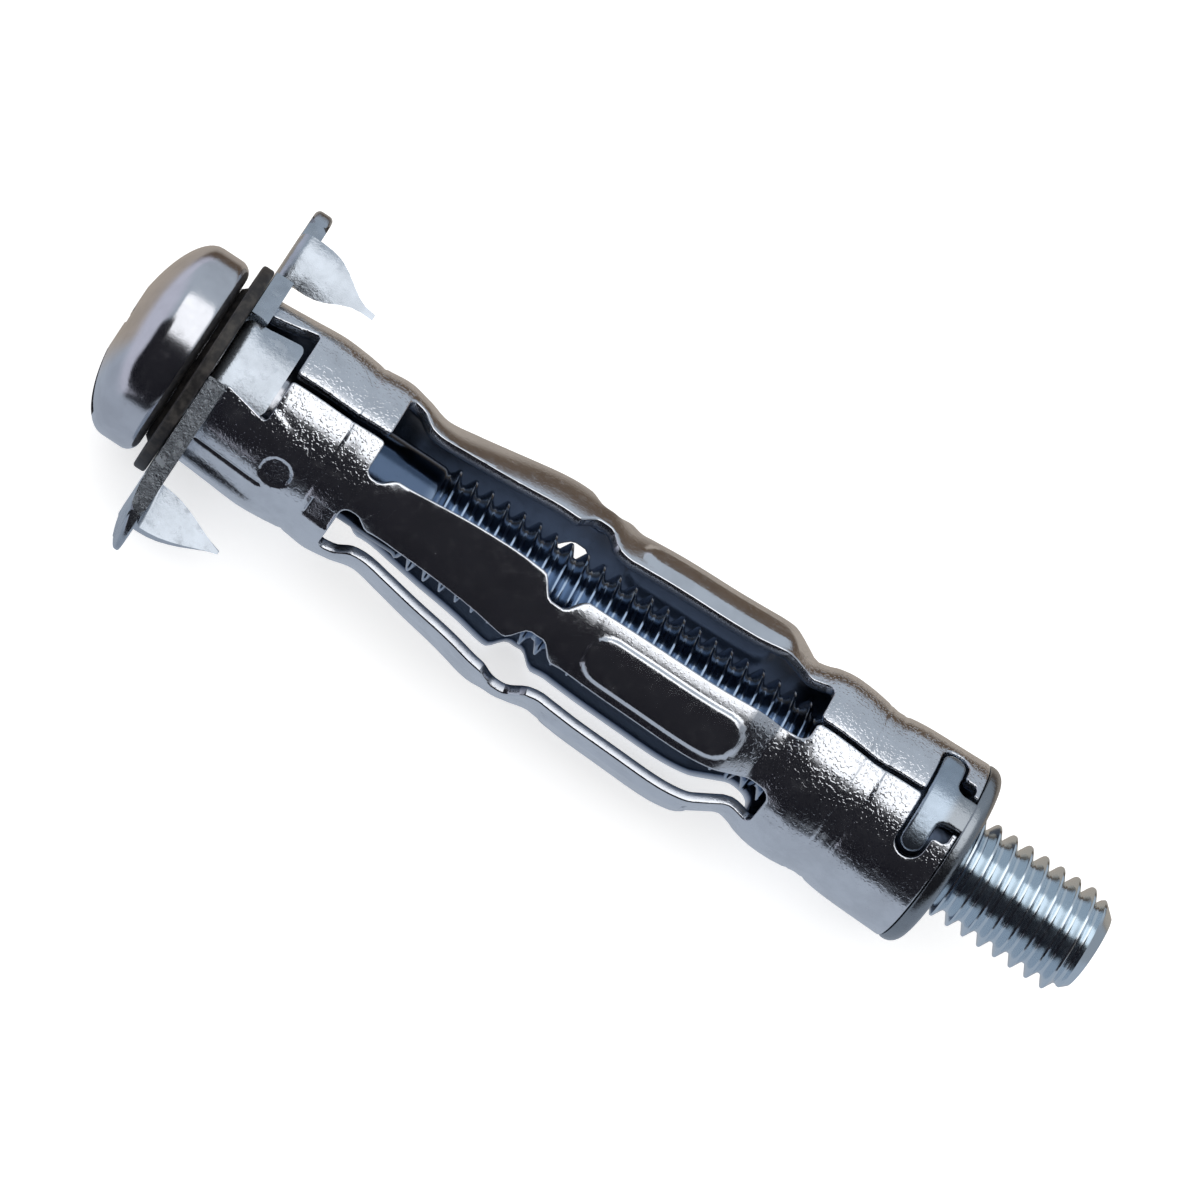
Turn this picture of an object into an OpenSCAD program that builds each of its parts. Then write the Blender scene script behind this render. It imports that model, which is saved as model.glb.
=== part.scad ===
// Hollow wall anchor: a screw, a washer, a flange plate, a slotted sleeve and a flanged nut.
// Millimetres. The origin is on the screw's axis at the face of the flange plate that meets the wall.
// +X runs towards the screw's tip, +Z through the sleeve's seam, and the plate's wings lie along Y.

/* [Screw] */
// Diameter over the thread's crests
thread_d = 6; // [5.6:0.1:6.4]
// Diameter of the smooth shank under the head
shank_d = 5.4; // [4.8:0.1:5.6]
// Length of the screw under its head
screw_l = 56.4; // [54:0.5:70]
// Length of the smooth shank
shank_l = 14; // [8:1:20]
// Distance between the thread's crests
thread_pitch = 1; // [0.8:0.05:1.25]
// Depth of the thread
thread_depth = 0.6; // [0.4:0.02:0.7]
// Distance from the smooth shank to the first crest
first_crest_l = 1.07; // [0.8:0.01:1.3]
// Length of the chamfer at the screw's tip
tip_chamfer = 0.95; // [0.5:0.05:1.5]
// Diameter of the flat at the screw's tip
tip_d = 4.3; // [3.8:0.1:5]
// Diameter of the pan head
head_d = 11.6; // [10.5:0.1:13]
// Height of the pan head
head_h = 4.1; // [3.4:0.1:5]
// Height of the head's domed top
dome_h = 2.2; // [1.6:0.1:2.4]
// Diameter of the flat in the middle of the domed top
dome_flat_d = 3.9; // [2:0.1:5]
// Chamfer round the head's underside
head_chamfer = 0.3; // [0.1:0.05:0.5]
// Width of the slot across the head
slot_w = 1.3; // [0.8:0.1:1.6]
// Depth of the slot at the middle of the head
slot_depth = 1.2; // [0.8:0.1:1.6]
// Turn of the slot from the plate's wings
slot_turn = 17; // [0:1:180]
// Span of the cross recess at the top of the head
recess_d = 5; // [4:0.1:6]
// Span of the cross recess at its floor
recess_floor_d = 2.2; // [1.6:0.1:3]
// Depth of the cross recess
recess_depth = 2.5; // [2:0.1:2.7]
// Width of the cross recess's wings
recess_w = 1.15; // [0.9:0.05:1.5]

/* [Washer] */
// Outside diameter of the washer
washer_d = 12.5; // [12:0.1:15]
// Thickness of the washer
washer_t = 0.7; // [0.4:0.1:1.2]
// Gap left between the washer and the screw's head
head_gap = 0.32; // [0.1:0.01:0.8]

/* [Flange plate] */
// Thickness of the plate's sheet
plate_t = 1.05; // [0.8:0.05:1.2]
// Length of the plate from wing tip to wing tip
plate_l = 22; // [20:0.5:28]
// Width of the plate at its middle
plate_w = 10.6; // [10.2:0.1:13]
// Radius of the wings' round ends
wing_r = 3; // [2.4:0.1:3.6]
// Thickness left at the pressed end of one wing
wing_end_t = 0.45; // [0.3:0.05:0.8]
// Length of that pressed end
wing_end_l = 3; // [1:0.5:4]
// Inside radius of the plate's bends
bend_r = 0.25; // [0.1:0.05:0.4]
// Width of the ears at their bend
ear_w = 3.8; // [3:0.1:4.2]
// Width of the ears at their far end
ear_end_w = 4.3; // [4:0.1:5]
// Distance of the ears' far end from the wall face
ear_l = 2.36; // [1.6:0.02:2.8]
// How far the ears' faces lie under the sleeve's outside
ear_drop = 0.57; // [0.4:0.01:0.7]
// Distance of the prongs' middle from the axis, along the wing
prong_y = 6.87; // [6.6:0.01:7.4]
// Height of the prongs' outer face above the axis
prong_z = 3.6; // [3.3:0.05:3.8]
// Width of the prongs at their bend
prong_w = 2.7; // [2:0.1:3]
// Width left at the prongs' points
prong_tip_w = 0.24; // [0.1:0.02:0.6]
// Distance of the prongs' points from the wall face
prong_l = 4.45; // [3:0.05:6]
// Fullness of the prongs' bowed sides
prong_bow = 1.8; // [1.2:0.1:3]

/* [Sleeve] */
// Length of the sleeve from the plate to the nut
sleeve_l = 44.5; // [43:0.5:56]
// Thickness of the sleeve's sheet
sheet_t = 0.5; // [0.4:0.05:0.6]
// Outside radius of the sleeve's plain ends
tube_r = 5.22; // [5.1:0.02:5.4]
// How far the head end is drawn in where it meets the plate
head_draw = 0.27; // [0.1:0.01:0.4]
// How far the nut end is flared out where it meets the nut
nut_flare = 0.14; // [0.05:0.01:0.2]
// Depth of the grooves pressed round the plain ends
groove_depth = 0.21; // [0.1:0.01:0.3]
// Outside radius of the legs' necks, next to the head end
neck_r = 4.65; // [4.5:0.05:4.9]
// Outside radius where the legs bow out
bow_r = 6; // [5.7:0.05:6.6]
// Outside radius at the fold between a leg's two bows
fold_r = 5.52; // [5.3:0.02:5.6]
// Outside radius at the crease next to the nut end
crease_r = 4.78; // [4.7:0.02:5]
// Distance from the plate to the windows
window_x = 8.5; // [8:0.1:10]
// Distance from the windows to the nut
tail_l = 9.3; // [9:0.1:12]
// Distance from the plate to the legs' waist, where they fold
fold_x = 20.6; // [18:0.2:23]
// Distance from the windows' ends to the necks and to the crease
neck_l = 2.3; // [2:0.1:3]
crease_l = 1.3; // [1:0.1:2]
// Number of legs
leg_count = 5; // [4:1:5]
// Width of a leg along the sleeve's surface
leg_w = 4.15; // [3.6:0.05:4.3]
// Width of a leg at its waist
waist_w = 2.2; // [1.8:0.1:3]
// Half length of the notches at the waist
waist_notch_l = 1.3; // [1:0.05:1.6]
// Width of a leg at its root by the head end
root_w = 2.25; // [1.8:0.05:2.8]
// Half length of the notches at the roots
root_notch_l = 0.85; // [0.6:0.05:1.1]
// Width of the seam at the head end
seam_w = 0.4; // [0.2:0.05:0.6]
// Width of the seam at the nut end
seam_tail_w = 0.26; // [0.2:0.02:0.5]

/* [Nut] */
// Thickness of the nut's disc and tabs
disc_t = 0.95; // [0.8:0.05:1.2]
// Outside diameter of the nut's threaded collar
collar_d = 7.9; // [7.4:0.1:8.2]
// Length of the threaded collar inside the sleeve
collar_l = 6; // [3:0.5:7]
// Width of a tab's neck
tab_neck_w = 2.1; // [1.6:0.1:2.6]
// Width across a tab's two hooks, along the sleeve's surface
tab_w = 6; // [5:0.1:6.4]
// Length of a tab's hooks along the sleeve
tab_l = 1.4; // [1:0.1:1.8]
// Length of a tab's neck between its hooks and the disc
tab_neck_l = 1.2; // [1:0.1:2]

/* [Fits] */
// Radial gap between the screw and the nut's thread
thread_fit = 0.05; // [0.02:0.01:0.1]
// Radial gap between the screw's shank and the washer, which can't pass the thread
washer_fit = 0.05; // [0.02:0.01:0.1]
// Radial gap between the thread and the plate's hole
plate_fit = 0.15; // [0.05:0.05:0.2]
// Gap between the plate's notches and what is bent out of them
notch_fit = 0.25; // [0.1:0.05:0.3]
// Gap beside an ear in the sleeve's slot, at its bend and at its far end
ear_fit = 0.5; // [0.3:0.05:0.6]
ear_end_fit = 0.9; // [0.5:0.05:1]
// Gap past the ears' far end in the sleeve's slots
ear_tip_fit = 0.6; // [0.3:0.05:1]
// Gap between the nut's tabs and the sleeve
tab_fit = 0.15; // [0.05:0.05:0.2]
// Gap between the sleeve's end and the nut's disc
disc_fit = 0.05; // [0:0.01:0.2]

/* [Hidden] */
$fn = 64;

// Cutters reach this far past what they cut
over = 1;
zinc = "#c3c8cf";
black = "#1d1a18";

// Places along the axis, from the head to the tip
washer_x = -plate_t - washer_t;
head_x = washer_x - head_gap;
neck_x = window_x + neck_l;
window_end_x = sleeve_l - tail_l;
crease_x = window_end_x - crease_l;
disc_x = sleeve_l + disc_fit;
hook_end_x = sleeve_l - tab_neck_l;
hook_x = hook_end_x - tab_l;

// Outside radii of the sleeve, and the ears' height in it
groove_r = tube_r - groove_depth;
mouth_r = tube_r + nut_flare;
ear_z = tube_r - ear_drop;

// The legs stand at equal steps from the seam, and each leans a few degrees to one side
leg_lean = [7.5, -4.5, -5, 2, -0.5];
leg_half_angle = degrees_on(bow_r, leg_w / 2);
function leg_angle(i) = (i + 0.5) * 360 / leg_count + leg_lean[i % leg_count];

// The angle that a length takes up along a circle
function degrees_on(r, arc) = arc / r * 180 / PI;

// The radius of a round notch of half length c and depth d
function notch_r(c, d) = (c * c + d * d) / (2 * d);

// Points after station a as far as station b, easing from one radius to the other in n steps
function swell(a, b, n) = [for (i = [1:n]) [
  a.x + (b.x - a.x) * i / n,
  a.y + (b.y - a.y) * (1 - cos(180 * i / n)) / 2]];

// Outside of the sleeve as stations of [distance from the plate, radius, steps from the last one]
stations = [
  [0, tube_r - head_draw, 0], [window_x - 4.6, tube_r, 2], [window_x - 2, groove_r, 2],
  [window_x - 0.5, tube_r - 0.07, 1], [neck_x, neck_r, 3],
  [fold_x - 0.9, bow_r, 6], [fold_x + 1.8, fold_r, 3], [fold_x + 2.6, bow_r - 0.25, 1],
  [crease_x - 3.4, bow_r, 2], [crease_x - 2.4, bow_r - 0.05, 1], [crease_x - 1.6, bow_r - 0.3, 1],
  [crease_x, crease_r, 1], [crease_x + 1.3, tube_r - 0.14, 1], [sleeve_l - 7.7, tube_r, 1],
  [sleeve_l - 5.5, groove_r, 2], [sleeve_l - 4.3, tube_r - 0.02, 1], [sleeve_l, mouth_r, 1]];
sleeve_line = [
  for (i = [0:len(stations) - 1])
    each i == 0 ? [[0, stations[0].y]] : swell(stations[i - 1], stations[i], stations[i].z)];

// Turns a drawing's x, y and height into Y, Z and X
module along_x() rotate([90, 0, 90]) children();

// Turns a shape that stands on the axis along +Z by an angle from the seam
module at_angle(a) rotate([-a, 0, 0]) children();

// Puts the same shape above and below the axis
module above_and_below() for (turn = [0, 180]) rotate([turn, 0, 0]) children();

// Part of a ring about the axis, from angle a0 to a1 from the seam
module sector(a0, a1, r0, r1, x0, x1)
  along_x() rotate([0, 0, 90 - a1]) rotate_extrude(angle = a1 - a0)
    translate([r0, x0]) square([r1 - r0, x1 - x0]);

// A hole drilled outwards through the sheet, at a distance x and an angle from the seam
module radial_hole(x, a, r)
  at_angle(a) translate([x, 0, neck_r - 2 * sheet_t]) cylinder(r = r, h = bow_r - neck_r + 4 * sheet_t);

// A flat outline of [distance from the plate, sideways] points, from height z0 to z1
module flat_shape(points, z0, z1) translate([0, 0, z0]) linear_extrude(z1 - z0) polygon(points);

// Half of the head's section, from its underside up
module head_profile() {
  head_r = head_d / 2;
  flat_r = dome_flat_d / 2;
  rise = sqrt(1 - pow(flat_r / head_r, 2));
  steps = 12;
  dome = [for (i = [1:steps - 1]) let (a = i * 90 / steps)
    [head_r * cos(a), head_h - dome_h + dome_h * sin(a) / rise]];
  polygon(concat(
    [[0, 0], [head_r - head_chamfer, 0], [head_r, head_chamfer], [head_r, head_h - dome_h]],
    [for (p = dome) if (p.x > flat_r) p],
    [[flat_r, head_h], [0, head_h]]));
}

// A slot right across the head, and a cross that narrows towards its floor
module recess() {
  translate([-head_d, -slot_w / 2, head_h - slot_depth]) cube([2 * head_d, slot_w, head_h]);
  intersection() {
    translate([0, 0, head_h - recess_depth]) cylinder(d1 = recess_floor_d, d2 = recess_d, h = recess_depth);
    for (a = [0, 90]) rotate([0, 0, a])
      translate([-recess_d, -recess_w / 2, 0]) cube([2 * recess_d, recess_w, 2 * head_h]);
  }
}

// Radius that the chamfer at the tip leaves at a distance from the head
function tip_r(x) = thread_d / 2 - max(0, x - screw_l + tip_chamfer) * (thread_d - tip_d) / 2 / tip_chamfer;

// The thread as plain rings: a root and then a crest for each pitch
function thread_rings() = [
  for (crest = [shank_l + first_crest_l:thread_pitch:screw_l - thread_depth / 2], p = [
      [crest - thread_pitch / 2, thread_d / 2 - thread_depth], [crest, thread_d / 2]])
    [min(p.y, tip_r(p.x)), p.x]];

module screw() color(zinc) translate([head_x, 0, 0]) along_x() {
  mirror([0, 0, 1]) difference() {
    rotate_extrude() head_profile();
    rotate([0, 0, slot_turn]) recess();
  }
  rotate_extrude() polygon(concat(
    [[0, 0], [shank_d / 2, 0], [shank_d / 2, shank_l]], thread_rings(), [[tip_d / 2, screw_l], [0, screw_l]]));
}

module washer() color(black) translate([washer_x, 0, 0]) along_x() difference() {
  cylinder(d = washer_d, h = washer_t);
  translate([0, 0, -over]) cylinder(r = shank_d / 2 + washer_fit, h = washer_t + 2 * over);
}

// Outline of the plate: a round middle and two smaller round ends joined by straight sides
module plate_outline() {
  reach = plate_l / 2 - wing_r;
  middle_r = plate_w / 2;
  lean = acos((middle_r - wing_r) / reach);
  circle(r = middle_r);
  for (turn = [0, 180]) rotate([0, 0, turn]) {
    translate([reach, 0]) circle(r = wing_r);
    polygon([
      [middle_r * cos(lean), middle_r * sin(lean)], [reach + wing_r * cos(lean), wing_r * sin(lean)],
      [reach + wing_r * cos(lean), -wing_r * sin(lean)], [middle_r * cos(lean), -middle_r * sin(lean)]]);
  }
}

// The quarter turn by which a strip from y0 to y1 is bent out of the plate, up to height z
module bend(y0, y1, z)
  translate([bend_r, y1, z - plate_t - bend_r]) rotate([90, 0, 0]) rotate([0, 0, 90])
    rotate_extrude(angle = 90) translate([bend_r, 0]) square([plate_t, y1 - y0]);

// The part of the plate that went into such a strip
module notch(y0, y1, z)
  translate([-plate_t - over, y0 - notch_fit, z - plate_t - bend_r])
    cube([plate_t + 2 * over, y1 - y0 + 2 * notch_fit, plate_w]);

// What a press takes off the -Y wing: its head side slopes down to a thin end
module pressed_end() {
  end_y = -plate_l / 2;
  translate([0, 0, -plate_w]) linear_extrude(2 * plate_w) polygon([
    [-plate_t - over, end_y + wing_end_l], [-plate_t, end_y + wing_end_l], [-wing_end_t, end_y],
    [-wing_end_t, end_y - over], [-plate_t - over, end_y - over]]);
}

// Outline of a prong, with bowed sides and a blunt point
function prong_points() = let (
  steps = 5,
  side = [for (i = [0:steps]) let (u = i / steps) [
    bend_r + (prong_l - bend_r) * u,
    prong_w / 2 * (1 - pow(u, prong_bow)) + prong_tip_w / 2 * u]])
  concat(
    [for (p = side) [p.x, prong_y + p.y]],
    [for (i = [steps:-1:0]) [side[i].x, prong_y - side[i].y]]);

module flange_plate() color(zinc) {
  prong_y0 = prong_y - prong_w / 2;
  prong_y1 = prong_y + prong_w / 2;
  difference() {
    translate([-plate_t, 0, 0]) along_x() linear_extrude(plate_t) plate_outline();
    translate([-plate_t - over, 0, 0]) along_x() cylinder(r = thread_d / 2 + plate_fit, h = plate_t + 2 * over);
    above_and_below() {
      notch(-ear_w / 2, ear_w / 2, ear_z);
      notch(prong_y0, prong_y1, prong_z);
    }
    pressed_end();
  }
  above_and_below() {
    bend(-ear_w / 2, ear_w / 2, ear_z);
    flat_shape([
      [bend_r, -ear_w / 2], [ear_l, -ear_end_w / 2], [ear_l, ear_end_w / 2], [bend_r, ear_w / 2]],
      ear_z - plate_t, ear_z);
    bend(prong_y0, prong_y1, prong_z);
    flat_shape(prong_points(), prong_z - plate_t, prong_z);
  }
}

// Windows between the legs, with round notches at the legs' roots and waists
module windows() {
  root_r = notch_r(root_notch_l, (leg_w - root_w) / 2);
  waist_r = notch_r(waist_notch_l, (leg_w - waist_w) / 2);
  for (i = [0:leg_count - 1]) {
    sector(leg_angle(i) + leg_half_angle, leg_angle(i + 1) - leg_half_angle,
      crease_r - 2 * sheet_t, bow_r + sheet_t, window_x, window_end_x);
    for (s = [-1, 1]) {
      radial_hole(window_x + root_notch_l, leg_angle(i) + s * degrees_on(tube_r, root_w / 2 + root_r), root_r);
      radial_hole(fold_x, leg_angle(i) + s * degrees_on(bow_r, waist_w / 2 + waist_r), waist_r);
    }
  }
}

// The gap where the rolled sheet's edges meet, along +Z only
module seam() {
  translate([-over, -seam_w / 2, 0]) cube([window_x + 2 * over, seam_w, mouth_r + over]);
  translate([window_end_x - over, -seam_tail_w / 2, 0])
    cube([tail_l + 2 * over, seam_tail_w, mouth_r + over]);
}

// The slots that take the plate's ears and the nut's tabs, from inside the bore out
module slots() {
  bore_z = neck_r / 2;
  slot_l = ear_l + ear_tip_fit;
  slot_half_w = ear_w / 2 + ear_fit;
  slot_end_half_w = ear_end_w / 2 + ear_end_fit;
  hook_half_w = mouth_r * sin(degrees_on(mouth_r, tab_w / 2)) + tab_fit;
  neck_half_w = tab_neck_w / 2 + tab_fit;
  above_and_below() {
    flat_shape([
      [-over, -slot_half_w], [0, -slot_half_w], [slot_l, -slot_end_half_w],
      [slot_l, slot_end_half_w], [0, slot_half_w], [-over, slot_half_w]], bore_z, mouth_r + over);
    translate([hook_x - tab_fit, -hook_half_w, bore_z])
      cube([tab_l + 2 * tab_fit, 2 * hook_half_w, mouth_r + over]);
    translate([hook_end_x, -neck_half_w, bore_z]) cube([tab_neck_l + over, 2 * neck_half_w, mouth_r + over]);
  }
}

module sleeve() color(zinc) difference() {
  along_x() rotate_extrude() polygon(concat(
    [for (p = sleeve_line) [p.y, p.x]],
    [for (i = [len(sleeve_line) - 1:-1:0]) [sleeve_line[i].y - sheet_t, sleeve_line[i].x]]));
  windows();
  seam();
  slots();
}

module nut() color(zinc) {
  difference() {
    along_x() rotate_extrude() polygon([
      [0, disc_x - collar_l], [collar_d / 2, disc_x - collar_l], [collar_d / 2, disc_x],
      [mouth_r, disc_x], [mouth_r, disc_x + disc_t], [0, disc_x + disc_t]]);
    translate([disc_x - collar_l - over, 0, 0]) along_x()
      cylinder(r = thread_d / 2 + thread_fit, h = collar_l + disc_t + 2 * over);
  }
  neck_half_angle = degrees_on(mouth_r, tab_neck_w / 2);
  hook_half_angle = degrees_on(mouth_r, tab_w / 2);
  for (a = [0, 180]) {
    sector(a - neck_half_angle, a + neck_half_angle, mouth_r - disc_t, mouth_r, hook_x, disc_x + disc_t / 2);
    sector(a - hook_half_angle, a + hook_half_angle, mouth_r - disc_t, mouth_r, hook_x, hook_end_x);
  }
}

screw();
washer();
flange_plate();
sleeve();
nut();
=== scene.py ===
# A hollow wall anchor, with the detail that its plain solids leave out: a screw, a washer, a flange
# plate, a sleeve and a nut.
# Lengths are written in millimetres and angles in degrees, and the meshes are in metres.
import math

import bmesh
import bpy
from mathutils import Matrix, Vector


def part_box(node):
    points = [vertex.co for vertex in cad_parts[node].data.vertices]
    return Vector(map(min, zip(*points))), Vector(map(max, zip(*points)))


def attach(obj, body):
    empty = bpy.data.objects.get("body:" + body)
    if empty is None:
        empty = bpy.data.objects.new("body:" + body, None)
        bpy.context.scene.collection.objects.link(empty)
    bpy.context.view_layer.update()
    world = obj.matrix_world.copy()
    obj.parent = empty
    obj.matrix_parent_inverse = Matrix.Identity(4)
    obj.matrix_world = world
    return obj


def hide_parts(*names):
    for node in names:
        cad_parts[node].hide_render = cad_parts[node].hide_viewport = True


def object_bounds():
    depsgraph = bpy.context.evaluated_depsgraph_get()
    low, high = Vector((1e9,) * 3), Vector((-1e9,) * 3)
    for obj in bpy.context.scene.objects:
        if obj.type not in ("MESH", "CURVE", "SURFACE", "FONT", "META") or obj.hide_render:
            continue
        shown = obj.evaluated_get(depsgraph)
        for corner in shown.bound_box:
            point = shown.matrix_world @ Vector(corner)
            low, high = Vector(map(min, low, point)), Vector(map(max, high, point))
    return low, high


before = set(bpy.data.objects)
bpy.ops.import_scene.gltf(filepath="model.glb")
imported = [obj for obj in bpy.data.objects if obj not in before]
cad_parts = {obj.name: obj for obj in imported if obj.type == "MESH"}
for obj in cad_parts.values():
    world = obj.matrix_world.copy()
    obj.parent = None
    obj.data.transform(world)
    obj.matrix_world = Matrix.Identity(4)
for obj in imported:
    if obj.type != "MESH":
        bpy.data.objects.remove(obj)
cad_bounds = [list(corner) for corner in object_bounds()]
MM = 0.001


# ---- Camera --------------------------------------------------------------------------------------
# It looks down on the anchor from the front, 27 degrees off straight above, a little past the
# screw's head, and is rolled so that the screw's tip points down to the right.
CAMERA_TILT = 27
CAMERA_ROLL = 33.4
CAMERA_DISTANCE = 385
CAMERA_ALONG = -28.75
CAMERA_LENS = 221
AIM_ALONG = -1.53
AIM_UP = 1.30

seen_from_above = Vector((0, -math.sin(math.radians(CAMERA_TILT)), math.cos(math.radians(CAMERA_TILT))))
picture_up = Vector((0, math.cos(math.radians(CAMERA_TILT)), math.sin(math.radians(CAMERA_TILT))))
middle_x = (cad_bounds[0][0] + cad_bounds[1][0]) / 2

camera_place = seen_from_above * CAMERA_DISTANCE * MM + Vector((middle_x + CAMERA_ALONG * MM, 0, 0))
camera_target = picture_up * AIM_UP * MM + Vector((middle_x + AIM_ALONG * MM, 0, 0))
forward = (camera_target - camera_place).normalized()
level_up = (picture_up - forward * picture_up.dot(forward)).normalized()
level_right = forward.cross(level_up)
roll = math.radians(CAMERA_ROLL)
right = level_right * math.cos(roll) + level_up * math.sin(roll)
up = level_up * math.cos(roll) - level_right * math.sin(roll)

camera = bpy.data.objects.new("camera", bpy.data.cameras.new("camera"))
camera.data.lens = CAMERA_LENS
camera.data.sensor_width = 36
camera.data.clip_end = 10
camera.matrix_world = Matrix.Translation(camera_place) @ Matrix((right, up, -forward)).transposed().to_4x4()
bpy.context.collection.objects.link(camera)
bpy.context.scene.camera = camera
bpy.context.scene.view_settings.view_transform = "Standard"


# ---- Studio --------------------------------------------------------------------------------------
# A white table, a bright ceiling above, a grey wall behind, and an unlit room in front, round the
# camera. The metal mirrors them as white, black and grey bands. For mirrored rays the table glows with
# painted reflections instead: tinted, brown and dark bands that the camera doesn't see.


# A number that changes over a surface is written as a Python expression on these values. Each
# operator adds its Math node, and every other node comes from Shader.node.
class Value:
    def __init__(self, shader, socket):
        self.shader = shader
        self.socket = socket

    def math(self, operation, *others):
        return self.shader.node("ShaderNodeMath", {"operation": operation}, {
            i: v for i, v in enumerate([self, *others])})

    def __add__(self, other):
        return self.math("ADD", other)

    def __sub__(self, other):
        return self.math("SUBTRACT", other)

    def __rsub__(self, other):
        return Value.math(self, "MULTIPLY", -1) + other

    def __mul__(self, other):
        return self.math("MULTIPLY", other)

    __radd__ = __add__
    __rmul__ = __mul__

    # 0 below low, 1 above high and a smooth step between them
    def step(self, low, high):
        return self.shader.node("ShaderNodeMapRange", {"interpolation_type": "SMOOTHSTEP"}, {
            "Value": self, "From Min": low, "From Max": high})


class Shader:
    def __init__(self, tree):
        self.tree = tree
        tree.nodes.clear()

    def node(self, kind, settings={}, inputs={}, output=0):
        node = self.tree.nodes.new(kind)
        for name, setting in settings.items():
            setattr(node, name, setting)
        for name, value in inputs.items():
            if isinstance(value, Value):
                self.tree.links.new(value.socket, node.inputs[name])
            else:
                node.inputs[name].default_value = value
        return Value(self, node.outputs[output]) if node.outputs else None

    def xyz(self, vector):
        return [self.node("ShaderNodeSeparateXYZ", {}, {"Vector": vector}, i) for i in range(3)]

    def mix(self, factor, one, two):
        return self.node("ShaderNodeMix", {"data_type": "RGBA"}, {0: factor, 6: one, 7: two}, 2)

    def noise(self, place, size, detail=2.0, roughness=0.5):
        return self.node("ShaderNodeTexNoise", {}, {
            "Vector": place, "Scale": 1 / (size * MM), "Detail": detail, "Roughness": roughness})


FLOOR_Z = cad_bounds[0][2] - 0.02 * MM
WHITE = (1, 1, 1, 1)
CEILING = (1.35, 1.36, 1.38, 1)
BACK_WALL = (0.42, 0.47, 0.53, 1)
HEAD_END_WALL = (0.56, 0.57, 0.66, 1)
TIP_END_WALL = (0.30, 0.33, 0.37, 1)
DARK_ROOM = (0.005, 0.005, 0.009, 1)
# TABLE_FRONT, TABLE_BEHIND and BROWN_STRIP are painted reflections: the table glows with them only for
# mirrored rays
TABLE_FRONT = (0.385, 0.43, 0.50, 1)
TABLE_BEHIND = (0.41, 0.36, 0.31, 1)
BROWN_STRIP = (0.11, 0.078, 0.055, 1)

world = bpy.data.worlds.new("studio")
bpy.context.scene.world = world
world.use_nodes = True
sky = Shader(world.node_tree)
direction = sky.node("ShaderNodeTexCoord", {}, {}, "Generated")
dir_x, dir_y, dir_z = sky.xyz(direction)
# Angle about the anchor's axis: 0 is straight up, and it grows towards the back
round_axis = dir_y.math("ARCTAN2", dir_z) * (180 / math.pi)
room = sky.mix(round_axis.step(37, 30) * dir_x.step(-0.5, -0.36), BACK_WALL, CEILING)
room = sky.mix((0 - dir_x).step(0.55, 0.95), room, HEAD_END_WALL)
room = sky.mix(dir_x.step(0.5, 0.85), room, TIP_END_WALL)
dark_from = (0 - dir_x).step(0.12, 0.30) * 18 - 12
in_front = (0 - dir_x).step(0.97, 0.85) * dir_x.step(0.99, 0.94)
room = sky.mix((round_axis - dark_from).step(0, -8) * in_front, room, DARK_ROOM)
is_mirrored = sky.node("ShaderNodeLightPath", {}, {}, "Is Glossy Ray")
room = sky.mix(is_mirrored, WHITE, room)
background = sky.node("ShaderNodeBackground", {}, {"Color": room, "Strength": 1.0})
sky.node("ShaderNodeOutputWorld", {}, {"Surface": background})

table = bpy.data.meshes.new("table")
table_form = bmesh.new()
bmesh.ops.create_grid(table_form, x_segments=1, y_segments=1, size=1.5,
                      matrix=Matrix.Translation((0, 0, FLOOR_Z)))
table_form.to_mesh(table)
table_form.free()
table_top = bpy.data.objects.new("table", table)
bpy.context.collection.objects.link(table_top)
paper = bpy.data.materials.new("white_paper")
paper.use_nodes = True
shader = Shader(paper.node_tree)
place = shader.node("ShaderNodeTexCoord", {}, {}, "Object")
along, across, _ = shader.xyz(place)
# Painted reflection: for mirrored rays the table glows in these bands instead of showing its lit white
behind = shader.mix(across.step(20 * MM, 30 * MM), TABLE_BEHIND, BROWN_STRIP)
behind = shader.mix(across.step(80 * MM, 120 * MM), behind, BACK_WALL)
in_front = shader.mix(across.step(-40 * MM, -60 * MM), TABLE_FRONT, DARK_ROOM)
table_view = shader.mix(across.step(-2 * MM, 2 * MM), in_front, behind)
table_view = shader.mix(along.step(-15 * MM, -35 * MM), table_view, HEAD_END_WALL)
table_view = shader.mix(along.step(80 * MM, 100 * MM), table_view, TIP_END_WALL)
painted_reflection_glow = shader.node("ShaderNodeEmission", {}, {"Color": table_view})
matt = shader.node("ShaderNodeBsdfDiffuse", {}, {"Color": (0.9, 0.9, 0.9, 1)})
glow = shader.node("ShaderNodeEmission", {}, {"Color": WHITE, "Strength": 0.5})
lit = shader.node("ShaderNodeAddShader", {}, {0: matt, 1: glow})
seen = shader.node("ShaderNodeLightPath", {}, {}, "Is Camera Ray")
through = shader.node("ShaderNodeLightPath", {}, {}, "Is Transmission Ray")
mirrored = shader.node("ShaderNodeLightPath", {}, {}, "Is Glossy Ray")
surface = shader.node("ShaderNodeMixShader", {}, {0: seen + through, 1: matt, 2: lit})
surface = shader.node("ShaderNodeMixShader", {}, {0: mirrored, 1: surface, 2: painted_reflection_glow})
shader.node("ShaderNodeOutputMaterial", {}, {"Surface": surface})
table.materials.append(paper)


# ---- Screw ---------------------------------------------------------------------------------------
# A pan-head machine screw of zinc-plated steel. The head is cold-formed with a slot and a cross in
# one recess, the shank is plain, and the M6 thread is rolled, so its crests stand above the shank.
THREAD_R = 3.0
ROOT_R = 2.39
PITCH = 1.0
SHANK_R = 2.7
SHANK_END_X = 11.9
RUN_OUT = 0.9
TIP_R = 2.15
TIP_CHAMFER = 0.95
CREST_X = 0.905
HEAD_R = 5.8
HEAD_H = 4.1
DOME_H = 2.2
DOME_FLAT_R = 1.95

screw_low, screw_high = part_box("screw")
HEAD_X = screw_low.x / MM + HEAD_H
TIP_X = screw_high.x / MM

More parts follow.
